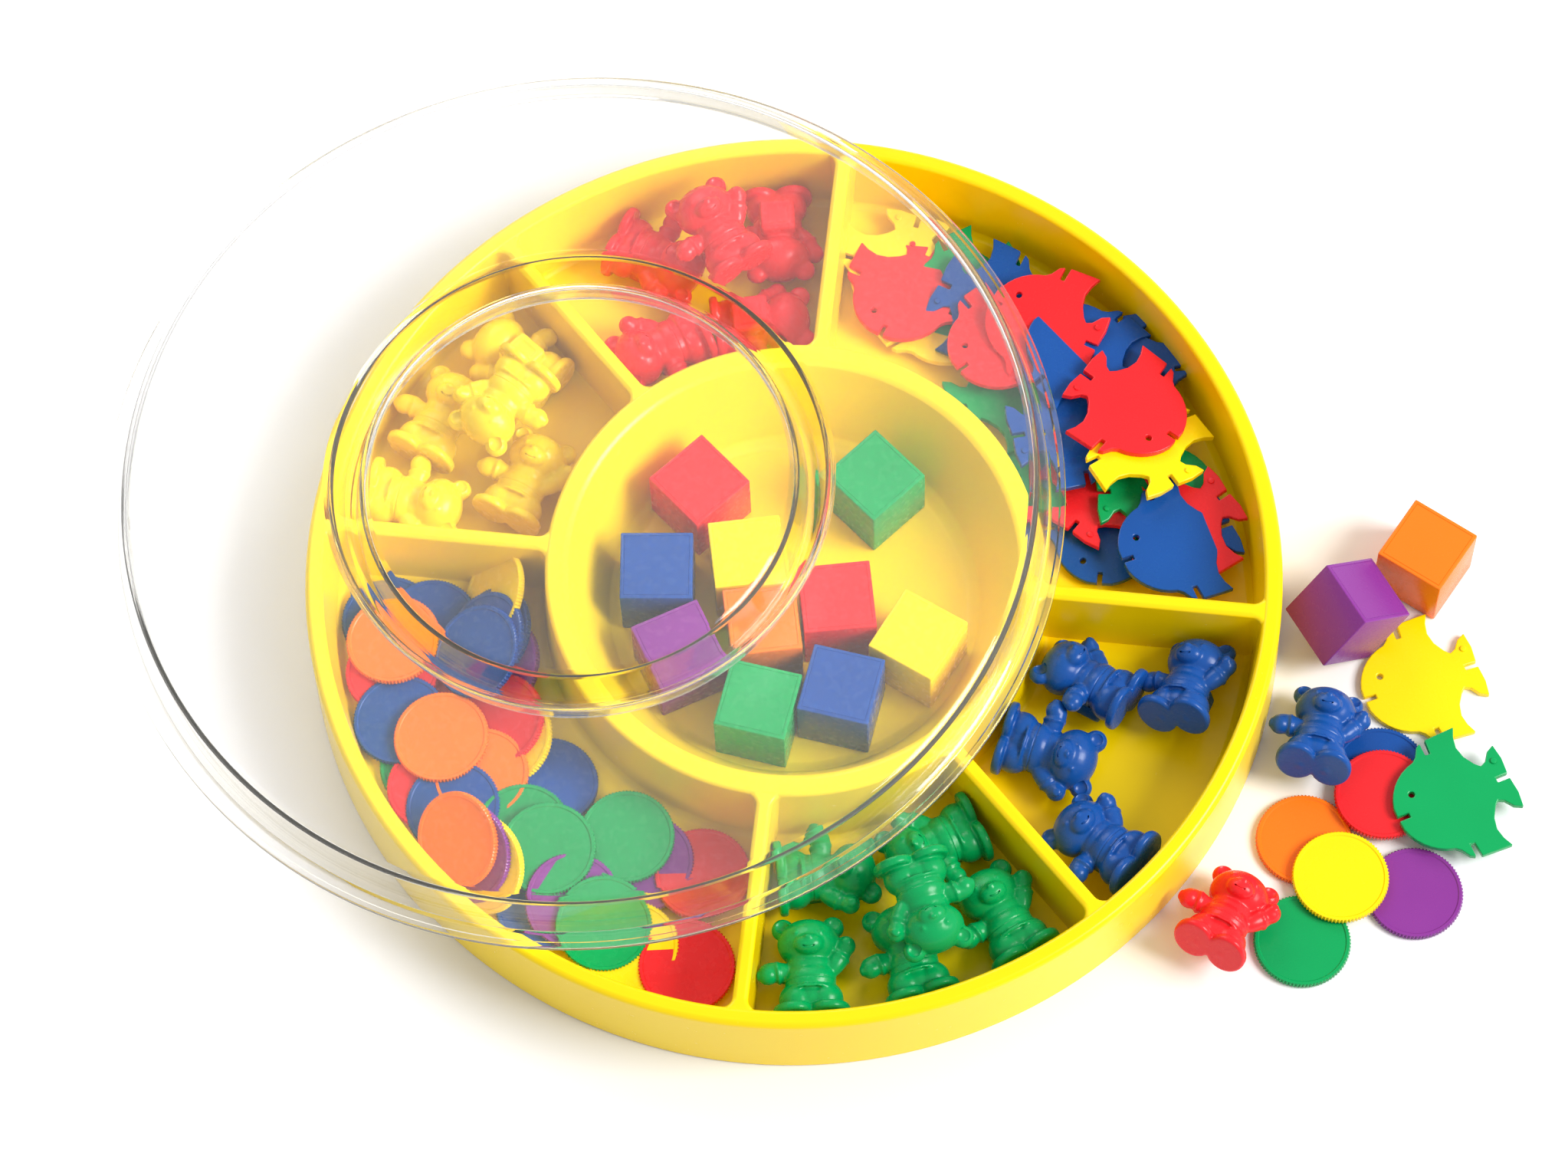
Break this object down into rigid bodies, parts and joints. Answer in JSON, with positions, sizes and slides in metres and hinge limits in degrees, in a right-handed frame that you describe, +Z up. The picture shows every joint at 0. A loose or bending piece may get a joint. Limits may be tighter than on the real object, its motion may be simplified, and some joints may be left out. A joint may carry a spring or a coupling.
{
  "type": "sorting tray with counters",
  "caption": "Round yellow sorting tray with a central bowl and wedge compartments, a clear raised lid lying askew, and plastic bear, fish, disc and cube counters in it and beside it.",
  "frame": {"origin": "middle of the tray's flat underside, on the surface that it stands on", "axes": "+Z up through the tray's middle, +X towards the counters that lie beside the tray, +Y away from the viewer"},
  "size_m": [0.3853, 0.2904, 0.0478],
  "materials": {
    "tray": "glossy moulded yellow plastic with soft rounded edges",
    "clear": "clear thin moulded plastic, polished",
    "red": "glossy moulded red plastic",
    "yellow": "glossy moulded yellow plastic",
    "green": "glossy moulded green plastic",
    "blue": "glossy moulded blue plastic",
    "orange": "glossy moulded orange plastic",
    "purple": "glossy moulded purple plastic"
  },
  "bodies": {
    "tray": {"tray": "tray", "cube_red_1": "red", "cube_green_2": "green", "cube_blue_3": "blue", "cube_yellow_4": "yellow", "cube_orange_5": "orange", "cube_red_6": "red", "cube_yellow_7": "yellow", "cube_purple_8": "purple", "cube_green_9": "green", "cube_blue_10": "blue", "bear_red_1": "red", "bear_red_2": "red", "bear_red_3": "red", "bear_red_4": "red", "bear_red_5": "red", "bear_yellow_1": "yellow", "bear_yellow_2": "yellow", "bear_yellow_3": "yellow", "bear_yellow_4": "yellow", "bear_yellow_5": "yellow", "bear_green_1": "green", "bear_green_2": "green", "bear_green_3": "green", "bear_green_4": "green", "bear_green_5": "green", "bear_green_6": "green", "bear_blue_1": "blue", "bear_blue_2": "blue", "bear_blue_3": "blue", "bear_blue_4": "blue", "disc_blue_1": "blue", "disc_orange_2": "orange", "disc_orange_3": "orange", "disc_blue_4": "blue", "disc_green_5": "green", "disc_green_6": "green", "disc_red_7": "red", "disc_red_8": "red", "fish_red_1": "red", "fish_red_2": "red", "fish_blue_3": "blue", "fish_blue_4": "blue", "fish_red_5": "red", "fish_green_6": "green", "fish_blue_7": "blue", "fish_blue_8": "blue", "loose_fish_yellow": "yellow", "loose_disc_blue": "blue", "loose_disc_red": "red", "loose_disc_orange": "orange", "loose_disc_purple": "purple", "loose_disc_green": "green"},
    "lid": {"lid": "clear"},
    "loose_cube_orange": {"loose_cube_orange": "orange"},
    "loose_cube_purple": {"loose_cube_purple": "purple"},
    "loose_fish_green": {"loose_fish_green": "green"},
    "loose_disc_yellow": {"loose_disc_yellow": "yellow"},
    "loose_bear_blue": {"loose_bear_blue": "blue"},
    "loose_bear_red": {"loose_bear_red": "red"}
  },
  "joints": [
    {"name": "lid_lift", "type": "slide", "parent": "tray", "child": "lid", "axis": [0, 0, 1], "range_m": [0, 0.1]},
    {"name": "loose_cube_orange_lift", "type": "slide", "parent": "tray", "child": "loose_cube_orange", "axis": [0, 0, 1], "range_m": [0, 0.06]},
    {"name": "loose_cube_purple_lift", "type": "slide", "parent": "tray", "child": "loose_cube_purple", "axis": [0, 0, 1], "range_m": [0, 0.06]},
    {"name": "loose_fish_green_lift", "type": "slide", "parent": "tray", "child": "loose_fish_green", "axis": [0, 0, 1], "range_m": [0, 0.06]},
    {"name": "loose_disc_yellow_lift", "type": "slide", "parent": "tray", "child": "loose_disc_yellow", "axis": [0, 0, 1], "range_m": [0, 0.06]},
    {"name": "loose_bear_blue_lift", "type": "slide", "parent": "tray", "child": "loose_bear_blue", "axis": [0, 0, 1], "range_m": [0, 0.06]},
    {"name": "loose_bear_red_lift", "type": "slide", "parent": "tray", "child": "loose_bear_red", "axis": [0, 0, 1], "range_m": [0, 0.06]}
  ]
}
